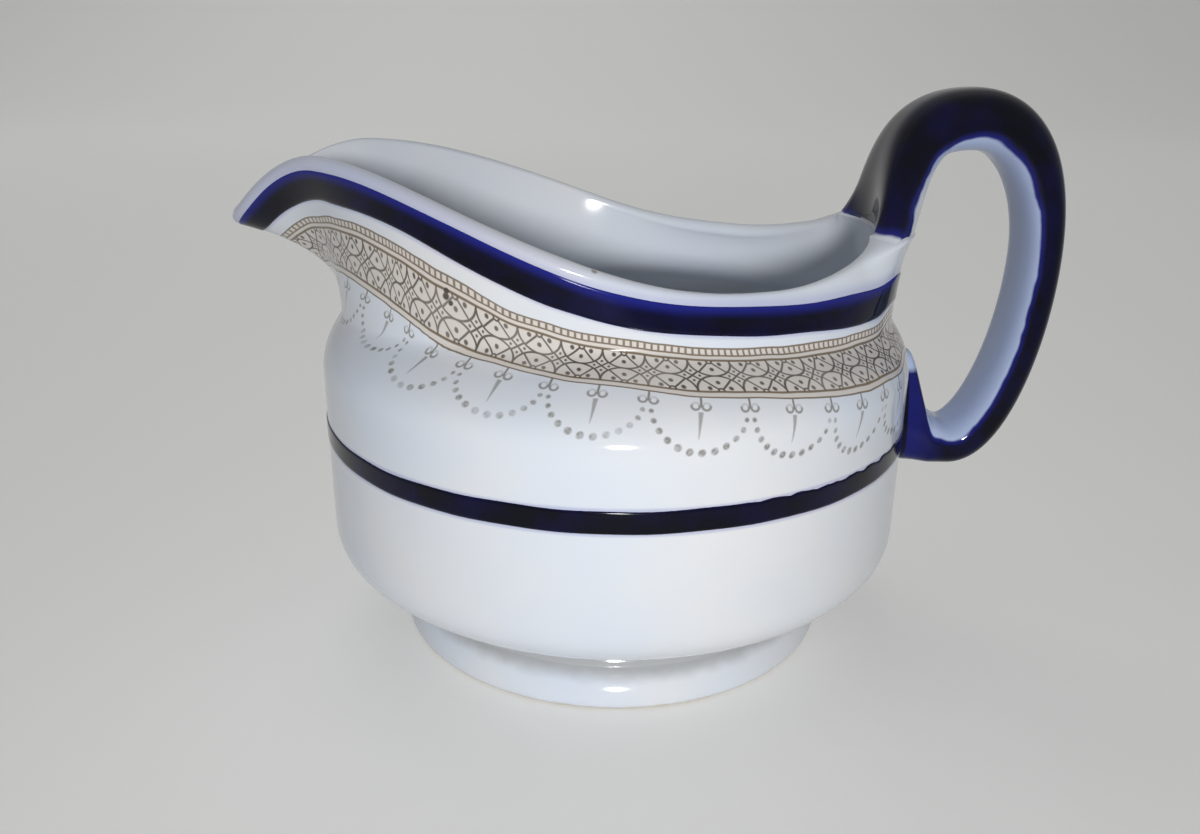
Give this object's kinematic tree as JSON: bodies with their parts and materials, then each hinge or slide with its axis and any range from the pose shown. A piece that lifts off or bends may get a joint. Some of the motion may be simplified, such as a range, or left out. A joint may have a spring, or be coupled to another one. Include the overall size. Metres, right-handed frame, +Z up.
{
  "type": "gravy boat",
  "caption": "Glazed ceramic gravy boat: round bowl on a foot ring, boat-shaped mouth rising to a pouring lip, tall loop handle, dark blue bands at rim and waist.",
  "frame": {"origin": "on the table plane, under the centre of the bounding box", "axes": "+X towards the handle, -X towards the pouring lip, +Z up; the object is mirror-symmetric about the XZ plane"},
  "size_m": [0.184, 0.1326, 0.123],
  "materials": {
    "white_glaze": "glossy bluish white glaze",
    "cobalt_glaze": "glossy dark cobalt blue under the glaze",
    "slip": "fired clay slip in the joints"
  },
  "bodies": {
    "root": {"body": "white_glaze", "foot_ring": "white_glaze", "foot_slip": "slip", "handle": "cobalt_glaze", "upper_slip": "slip", "lower_slip": "slip", "rim_band": "cobalt_glaze", "waist_band": "cobalt_glaze"}
  },
  "joints": []
}
